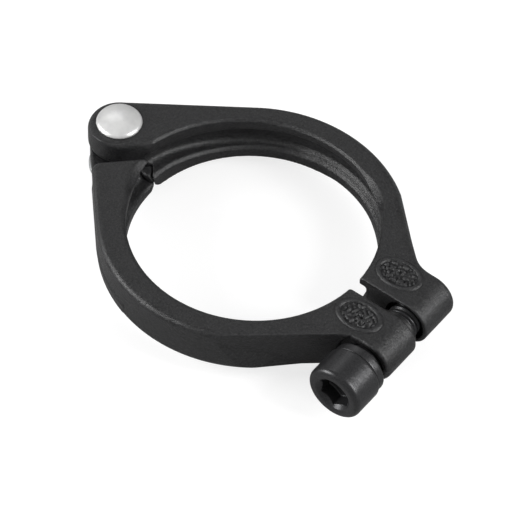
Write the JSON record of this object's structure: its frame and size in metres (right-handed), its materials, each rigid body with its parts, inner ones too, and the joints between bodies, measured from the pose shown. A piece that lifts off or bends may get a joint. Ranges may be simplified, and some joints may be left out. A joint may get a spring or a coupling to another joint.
{
  "type": "hinged clamp coupling",
  "caption": "Black hinged clamp coupling: cast jaws with a lipped, grooved bore, a riveted lap hinge and a captive socket head clamp bolt.",
  "frame": {"origin": "centre of the bore at mid height", "axes": "+Z along the bore, out of the side with the rivet's domed head; +X from the bore to the bolt ears; the near jaw and the bolt's head are on the -Y side"},
  "size_m": [0.071, 0.051, 0.0133],
  "materials": {
    "casting": "fine-grained satin black coating",
    "rivet": "bright satin",
    "tail_washer": "black oxide",
    "bolt": "black oxide, satin",
    "spring_washer": "black oxide, satin",
    "retaining_ring": "black oxide, satin"
  },
  "bodies": {
    "near_half": {"near_jaw": "casting", "hinge_rivet": "rivet", "tail_washer": "tail_washer"},
    "far_half": {"far_jaw": "casting"},
    "lock_washer": {"spring_washer": "spring_washer"},
    "bolt": {"clamp_bolt": "bolt", "retaining_ring": "retaining_ring"}
  },
  "joints": [
    {"name": "jaw_hinge", "type": "hinge", "parent": "near_half", "child": "far_half", "pos_m": [-0.0306, 0.0027, 0], "axis": [0, 0, 1], "range_deg": [-0.5, 150]},
    {"name": "bolt_play", "type": "slide", "parent": "near_half", "child": "lock_washer", "axis": [0, 1, 0], "range_m": [0, 0.0012]},
    {"name": "bolt_turn", "type": "hinge", "parent": "lock_washer", "child": "bolt", "pos_m": [0.0301, 0, 0], "axis": [0, 1, 0], "continuous": true}
  ]
}
